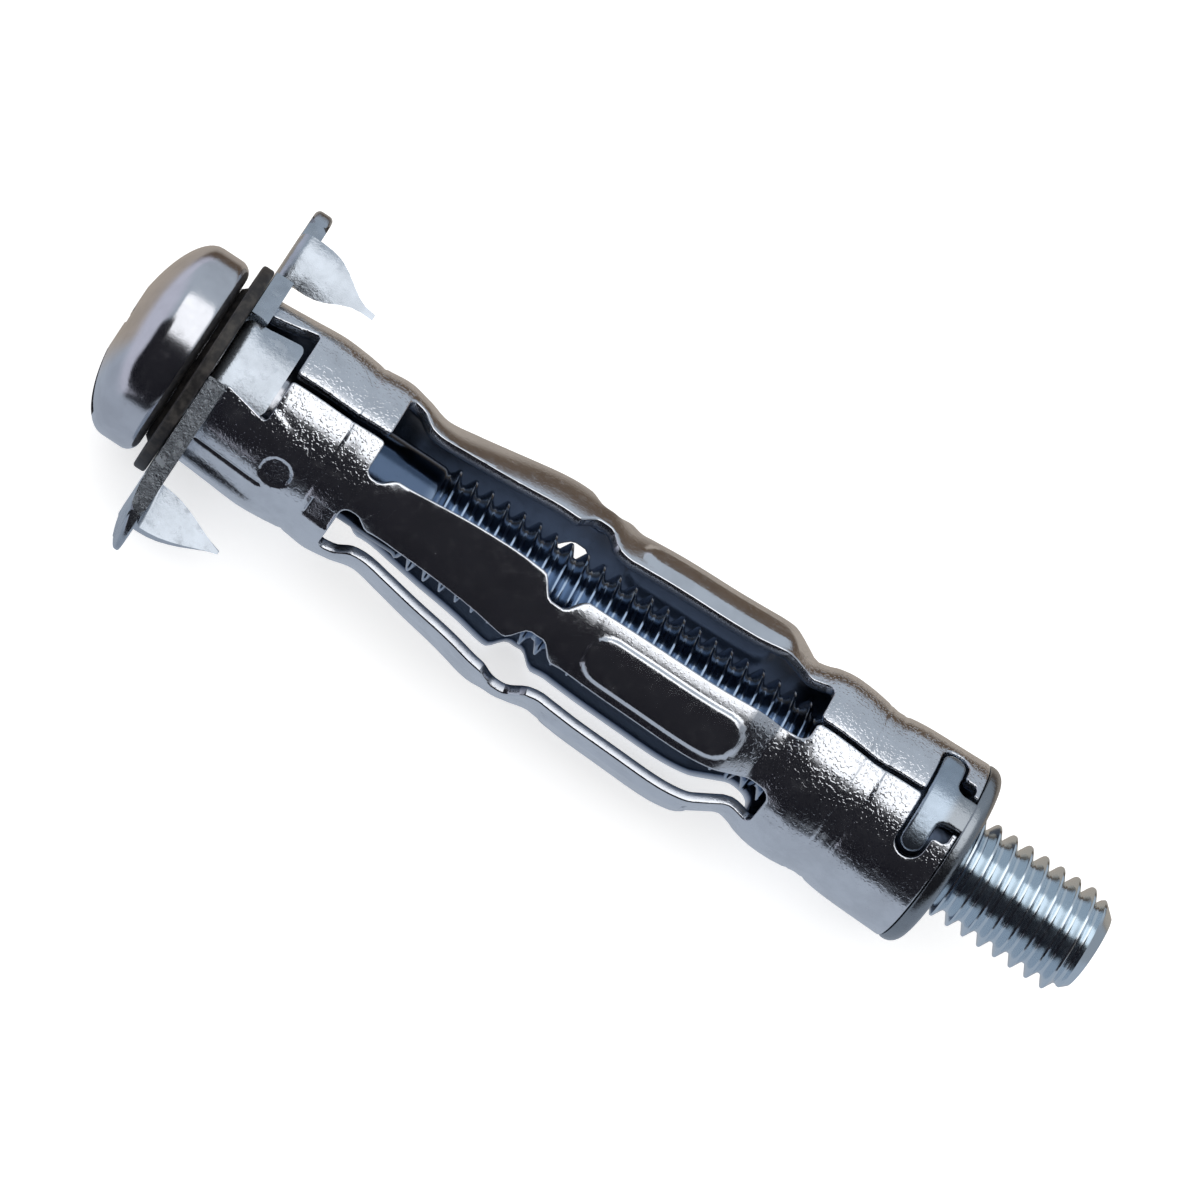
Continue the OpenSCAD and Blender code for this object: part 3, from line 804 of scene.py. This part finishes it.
# A flat sheet with soft punched edges: the first outline is its rim and the others are holes in it.
# Its two faces are ruled into small cells, so that it can be rolled and pressed afterwards.
def punched_sheet(outlines, rulings, thickness, edge):
    form = bmesh.new()
    inside = form.verts.layers.float.new("inside")
    rings = []
    for number, outline in enumerate(outlines):
        outline = wound(outline, number == 0)
        ring = [form.verts.new((u, v, 0)) for u, v in inset(outline, edge)]
        rings.append((outline, ring))
        for one, two in zip(ring, ring[1:] + ring[:1]):
            form.edges.new((one, two))
    bmesh.ops.triangle_fill(form, use_beauty=True, use_dissolve=False, edges=form.edges[:], normal=(0, 0, 1))
    for outline, ring in rings:
        for turn in (60, 30, 0):
            turn = math.radians(turn)
            lower = [form.verts.new((u, v, -edge * (1 - math.sin(turn))))
                     for u, v in inset(outline, edge * (1 - math.cos(turn)))]
            for i in range(len(ring)):
                form.faces.new((ring[i - 1], ring[i], lower[i], lower[i - 1]))
            ring = lower
    for axis, places in rulings:
        for place in places:
            bmesh.ops.bisect_plane(
                form, geom=form.verts[:] + form.edges[:] + form.faces[:], dist=1e-4,
                plane_co=(place, 0, 0) if axis == 0 else (0, place, 0),
                plane_no=(1, 0, 0) if axis == 0 else (0, 1, 0))
    slanted = [e for e in form.edges if not e.is_boundary and all(v.co.z > -1e-6 for v in e.verts)
               and min(abs(e.verts[0].co.x - e.verts[1].co.x), abs(e.verts[0].co.y - e.verts[1].co.y)) > 1e-4
               and not any(any(v.co.z < -1e-6 for v in f.verts) for f in e.link_faces)]
    bmesh.ops.dissolve_edges(form, edges=slanted, use_verts=True)
    rim = [e for e in form.edges if e.is_boundary]
    copies = bmesh.ops.duplicate(form, geom=form.verts[:] + form.edges[:] + form.faces[:])
    other = copies["vert_map"]
    for edge_line in rim:
        one, two = edge_line.verts
        form.faces.new((one, two, other[two], other[one]))
    for item in copies["geom"]:
        if isinstance(item, bmesh.types.BMVert):
            item.co.z = -thickness - item.co.z
            item[inside] = 1
    bmesh.ops.recalc_face_normals(form, faces=form.faces)
    return form


# Half of the T-shaped slot for one of the nut's tabs, with its relief corner, out to the sleeve's end
def hook_slot(side, edge_angle, centre=0.0):
    round_r = (HOOK_SLOT_END_X - HOOK_SLOT_X) / 2
    straight = HOOK_SLOT_HALF - round_r / ROUND
    end = [(x, straight + a, 0) for x, a in [
        (HOOK_SLOT_X + round_r * (1 - math.cos(math.radians(t))), round_r / ROUND * math.sin(math.radians(t)))
        for t in range(0, 181, 15)]]
    start = [(HOOK_SLOT_X, edge_angle, 0.22)] if edge_angle else []
    path = start + end + [
        (HOOK_SLOT_END_X, RELIEF_HALF, 0.25), (HOOK_SLOT_END_X + RELIEF_L, RELIEF_HALF, 0.3),
        (HOOK_SLOT_END_X + RELIEF_L, NECK_SLOT_HALF, 0.1), (SLEEVE_L, NECK_SLOT_HALF, 0)]
    return [(x, centre + side * a, r) for x, a, r in path]


near_side = (
    [(0, EAR_SLOT_HALF, 0.22), (EAR_SLOT_L, EAR_SLOT_END_HALF, 0.22), (EAR_SLOT_L, SEAM[0], 0.22),
     (WINDOW_X, SEAM[0], 0.25),
     (WINDOW_X, leg_centre(0, WINDOW_X) - ROOT_HALF[0], 0.45)]
    + leg_side(0, -1)
    + [(WINDOW_END_X, leg_centre(0, 35) - LEG_HALF, 0.5), (WINDOW_END_X, SEAM_TAIL[0], 0.3)]
    + hook_slot(1, SEAM_TAIL[0]))
far_side = (
    [(0, 360 - EAR_SLOT_HALF, 0.22), (EAR_SLOT_L, 360 - EAR_SLOT_END_HALF, 0.22),
     (EAR_SLOT_L, 360 + SEAM[1], 0.22),
     (WINDOW_X, 360 + SEAM[1], 0.25), (WINDOW_X, leg_centre(4, WINDOW_X) + ROOT_HALF[4], 0.45)]
    + leg_side(4, 1)
    + [(WINDOW_END_X, leg_places[4] + LEG_HALF, 0.5), (WINDOW_END_X, 360 + SEAM_TAIL[1], 0.3)]
    + hook_slot(-1, -SEAM_TAIL[1], 360))
rim = (
    near_side + hook_slot(-1, 0, 180)[::-1] + hook_slot(1, 0, 180) + far_side[::-1]
    + [(0, 180 + EAR_SLOT_HALF, 0.22), (EAR_SLOT_L, 180 + EAR_SLOT_END_HALF, 0.22),
       (EAR_SLOT_L, 180 - EAR_SLOT_END_HALF, 0.22), (0, 180 - EAR_SLOT_HALF, 0.22)])
windows = [
    [(WINDOW_X, leg_centre(leg, WINDOW_X) + ROOT_HALF[leg], 0.45)] + leg_side(leg, 1)
    + [(WINDOW_END_X, leg_centre(leg, 35) + LEG_HALF, 0.5),
       (WINDOW_END_X, leg_places[leg + 1] - LEG_HALF, 0.5)]
    + leg_side(leg + 1, -1)[::-1]
    + [(WINDOW_X, leg_centre(leg + 1, WINDOW_X) - ROOT_HALF[leg + 1], 0.45)]
    for leg in range(4)]

# The cells are finest where the press marked the sheet
rulings_along = (steps_between(0.2, 44.3, 124) + steps_between(3.6, 5.6, 24) + steps_between(6.5, 8.4, 23)
                 + steps_between(38.1, 39.8, 15))
rulings_round = steps_between(2, 355, 130) + steps_between(286.5, 314.5, 35) + steps_between(330, 337, 9)
sleeve = punched_sheet(
    [rounded_off(rim)] + [rounded_off(window) for window in windows],
    [(0, rulings_along), (1, [a * ROUND for a in rulings_round])], SLEEVE_SHEET, SLEEVE_EDGE)


# How far a place is outside a bead or dimple with round ends: a line of half_l, widened by reach
def outside_of(x, a, centre_x, centre_a, half_l, reach, radius=5.5):
    across = math.radians(a - centre_a) * radius
    return math.hypot(max(abs(x - centre_x) - half_l, 0), across) - reach


# What the press has raised or sunk at a place, in millimetres
def pressed(x, a):
    height = 0
    for leg in range(5):
        away = outside_of(x, a, PANEL_X, leg_centre(leg, 27) + PANEL_TURN, PANEL_HALF_L, PANEL_R, 5.8)
        height += PANEL_RISE * (1 - smooth(0, 0.3, away))
    # The ears' pressing sank the ring beside their slots
    for turn in (0, 360, 180):
        near_edge, far_edge = turn - 27 - 3.9 * (x - 2.9), turn + 34 - 1.8 * (x - 2.0)
        if x < 6.6 and near_edge - 5 < a < far_edge + 5:
            height -= 0.06 * smooth(near_edge - 1.5, near_edge + 1.5, a) * (
                1 - smooth(far_edge - 1.5, far_edge + 1.5, a)) * (1 - smooth(5.7, 6.1, x))
    # The punch marks have flat floors
    across = math.radians(a - ROUND_MARK[1]) * 5.2
    height -= (0.17 + 0.04 * across - across ** 2 / 10.4) * (
        1 - smooth(-0.08, 0.08, outside_of(x, a, *ROUND_MARK, 0, ROUND_MARK_R, 5.2)))
    across = math.radians(a - SQUARE_MARK[1]) * 5.0
    corner = max(abs(x - SQUARE_MARK[0]) - 0.68, abs(across) - 0.5)
    height -= (0.2 + 0.17 * across - across ** 2 / 10) * (1 - smooth(0, 0.16, corner))
    height -= 0.1 * (1 - smooth(0, 0.16, outside_of(x, a, *SLIT, SLIT_HALF_L, 0.03, 5.1)))
    height -= 0.05 * (1 - smooth(0, 0.3, outside_of(x, a, *NICK, 0, 0.15, 5.2)))
    for line, depth in CREASES:
        height -= depth * (1 - smooth(0, CREASE_HALF, abs(x - line)))
    return height


# How far the rolled sheet sits off the axis, up and to the back, along its length
wander = [(-1, 0.21), (0, 0.21), (8, 0.21), (11, 0.12), (14, 0.05), (17, 0.03), (19.5, -0.15), (22, -0.14),
          (26, -0.15), (30, -0.15), (33, 0.08), (35, 0.14), (38, 0.04), (42, 0), (44.5, 0), (46, 0)]


# Bowing has left the legs flatter than the tube that they were cut from: by these shares, before
# and after the waist, leg by leg
LEG_FLAT = [(0.6, 0.6), (0.2, 0.2), (0.2, 0.2), (0.7, 0.65), (0.5, 0)]


# How flat the sheet is at a place, and how far round from the middle of its leg
def flattened(x, a):
    for leg, (before, after) in enumerate(LEG_FLAT):
        turned = a - leg_centre(leg, x)
        if abs(turned) < LEG_HALF + 6:
            share = before + (after - before) * smooth(19.5, 21.5, x)
            return share * smooth(9.5, 12, x) * (1 - smooth(32, 35, x)), math.radians(turned)
    return 0, 0


for vert in sleeve.verts:
    x, s, depth = vert.co
    a = s / ROUND
    radius, slope = along_curve(swells, x)
    lean = math.hypot(1, slope)
    flat, turned = flattened(x, a)
    radius += pressed(x, a) - flat * radius * (math.cos(turned) - math.cos(math.radians(LEG_HALF)))
    outer = math.radians(a)
    square = outer - flat * turned
    shift = picture_up * along_curve(wander, x)[0]
    vert.co = (x - depth * slope / lean,
               radius * math.sin(outer) + depth / lean * math.sin(square) + shift.y,
               radius * math.cos(outer) + depth / lean * math.cos(square) + shift.z)
bmesh.ops.recalc_face_normals(sleeve, faces=sleeve.faces)

# The sleeve's inside is painted dark as painted shade
sleeve_zinc = zinc_plating("zinc_sleeve", (0.84, 0.86, 0.90), 0.13, 0.3, 0.16, 0.12,
                           inside_shade_tint=(0.16, 0.20, 0.28), smooth_legs=True)
new_piece("anchor_sleeve", sleeve, sleeve_zinc, "root", "sleeve")


# ---- Nut -----------------------------------------------------------------------------------------
# A zinc-plated disc with a threaded collar drawn from it towards the sleeve. Two T-shaped tabs are
# bent back from its rim into the sleeve's slots, and stop it from turning.
DISC_X = 44.55
DISC_T = 0.95
DISC_R = 5.36
DISC_ROUND = 0.72
COLLAR_R = 3.95
COLLAR_L = 6.0
NUT_BORE_R = 3.03
TAB_R = 5.32
TAB_T = 0.9
TAB_EDGE = 0.22
TAB_X = 41.93
TAB_END_X = 43.3
TAB_HALF = 36.0
TAB_NECK_HALF = 11.2

nut_body = lathe(
    arc(DISC_X + DISC_T - DISC_ROUND, DISC_R - DISC_ROUND, DISC_ROUND, 0, 90, 8)
    + arc(DISC_X + 0.12, DISC_R - 0.12, 0.12, 90, 180, 3)
    + [(DISC_X, COLLAR_R + 0.15), (DISC_X - 0.15, COLLAR_R), (DISC_X - COLLAR_L + 0.25, COLLAR_R),
       (DISC_X - COLLAR_L, COLLAR_R - 0.25), (DISC_X - COLLAR_L, NUT_BORE_R + 0.2),
       (DISC_X - COLLAR_L + 0.2, NUT_BORE_R), (DISC_X + DISC_T - 0.2, NUT_BORE_R),
       (DISC_X + DISC_T, NUT_BORE_R + 0.2)], steps=144, closed=True)

tab_round = (TAB_END_X - TAB_X) / 2
tab_straight = TAB_HALF - tab_round / ROUND
half_tab = (
    [(TAB_X + tab_round * (1 - math.cos(math.radians(t))),
      tab_straight + tab_round / ROUND * math.sin(math.radians(t)), 0) for t in range(0, 181, 15)]
    + [(TAB_END_X, TAB_NECK_HALF, 0.5), (DISC_X + 0.2, TAB_NECK_HALF, 0)])
tab_outline = rounded_off(half_tab + [(x, -a, r) for x, a, r in half_tab[::-1]])
for place in (0, 180):
    tab = punched_sheet([tab_outline], [(1, [a * ROUND for a in range(-34, 35, 2)])], TAB_T, TAB_EDGE)
    for vert in tab.verts:
        x, s, depth = vert.co
        a = math.radians(s / ROUND + place)
        vert.co = (x, (TAB_R + depth) * math.sin(a), (TAB_R + depth) * math.cos(a))
    bmesh.ops.recalc_face_normals(tab, faces=tab.faces)
    add_form(nut_body, tab)

# The nut's bore and the tabs' inner faces are painted dark as shade, and its disc face is painted darker to
# dim its mirrored ceiling
nut_zinc = zinc_plating("zinc_nut", (0.46, 0.54, 0.63), 0.20, 0.25, 0.2, 0.2,
                        inside_shade_tint=(0.14, 0.18, 0.26), inner_radius=4.5, disc_shade_tint=(0.34, 0.37, 0.40))
new_piece("nut_with_tabs", nut_body, nut_zinc, "root", "nut")
